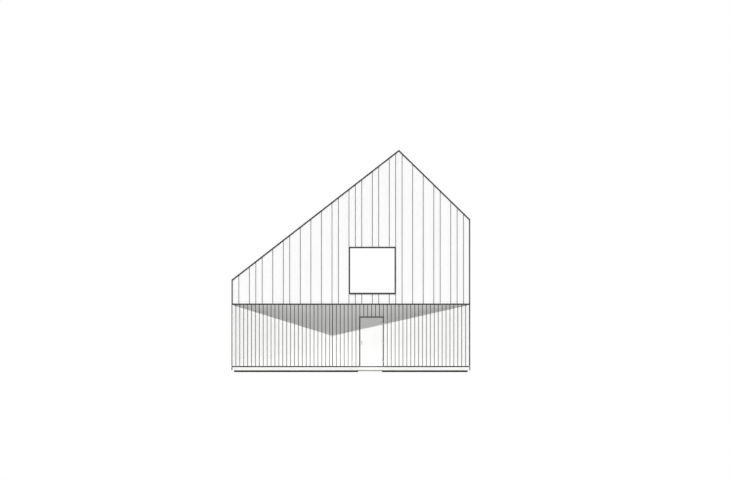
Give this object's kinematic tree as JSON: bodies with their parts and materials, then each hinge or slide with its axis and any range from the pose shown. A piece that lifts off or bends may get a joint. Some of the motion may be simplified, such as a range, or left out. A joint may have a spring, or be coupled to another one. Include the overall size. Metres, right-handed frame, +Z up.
{
  "type": "two-storey timber house with asymmetric gable",
  "caption": "Two-storey house: a standing-seam block with an asymmetric gable over a boarded ground storey, whose entrance front folds inwards to make a porch.",
  "frame": {"origin": "ground level, under the middle of the rectangular house", "axes": "+X to the right along the entrance front, +Y from the entrance front to the back, +Z up"},
  "size_m": [10.052, 12.24, 9.363],
  "materials": {
    "concrete": "fair-faced concrete, matt",
    "plinth_coating": "black bituminous coating on the base, matt",
    "wall_panel": "pale spruce panel, matt",
    "painted_boards": "white painted boards, matt",
    "soffit": "white painted lining, matt",
    "floor_timber": "pale timber floor, satin",
    "beam_timber": "glued laminated timber, matt",
    "seamed_sheet": "off-white coil-coated sheet, satin",
    "dark_flashing": "dark grey coated flashing, satin",
    "window_metal": "dark grey powder coat, satin",
    "glazing": "clear sealed glass units",
    "painted_door": "white painted boards, satin",
    "wall_membrane": "black membrane seen in the joints of the boards",
    "gasket": "black rubber gaskets",
    "hardware_steel": "brushed stainless steel"
  },
  "bodies": {
    "house": {"foundation": "plinth_coating", "floor_platform": "concrete", "entrance_step": "concrete", "front_wall_left": "wall_panel", "front_wall_middle": "wall_panel", "front_wall_right": "wall_panel", "front_wall_over_door": "wall_panel", "left_wall": "wall_panel", "right_wall": "wall_panel", "back_wall": "wall_panel", "front_boards_left": "painted_boards", "front_boards_right": "painted_boards", "left_boards": "painted_boards", "right_boards": "painted_boards", "back_boards": "painted_boards", "porch_soffit": "soffit", "upper_floor": "floor_timber", "front_gable_wall": "wall_panel", "back_gable_wall": "wall_panel", "left_upper_wall": "wall_panel", "right_upper_wall": "wall_panel", "roof_left": "wall_panel", "roof_right": "wall_panel", "ridge_beam": "beam_timber", "front_sheeting": "seamed_sheet", "back_sheeting": "seamed_sheet", "left_sheeting": "seamed_sheet", "right_sheeting": "seamed_sheet", "roof_sheeting_left": "seamed_sheet", "roof_sheeting_right": "seamed_sheet", "ridge_cap": "seamed_sheet", "base_flashing": "dark_flashing", "front_edge_trim": "dark_flashing", "back_edge_trim": "dark_flashing", "front_window_frame": "window_metal", "front_window_glass": "glazing", "back_window_frames": "window_metal", "back_window_glass": "glazing", "side_window_frames": "window_metal", "side_window_glass": "glazing", "door_frame": "window_metal", "hinge_plates": "hardware_steel"},
    "door": {"door_leaf": "painted_door", "hinge_flags": "hardware_steel", "door_knobs": "hardware_steel"}
  },
  "joints": [
    {"name": "door_hinge", "type": "hinge", "parent": "house", "child": "door", "pos_m": [1.34117, -5.11725, 0], "axis": [0, 0, 1], "range_deg": [0, 100]}
  ]
}
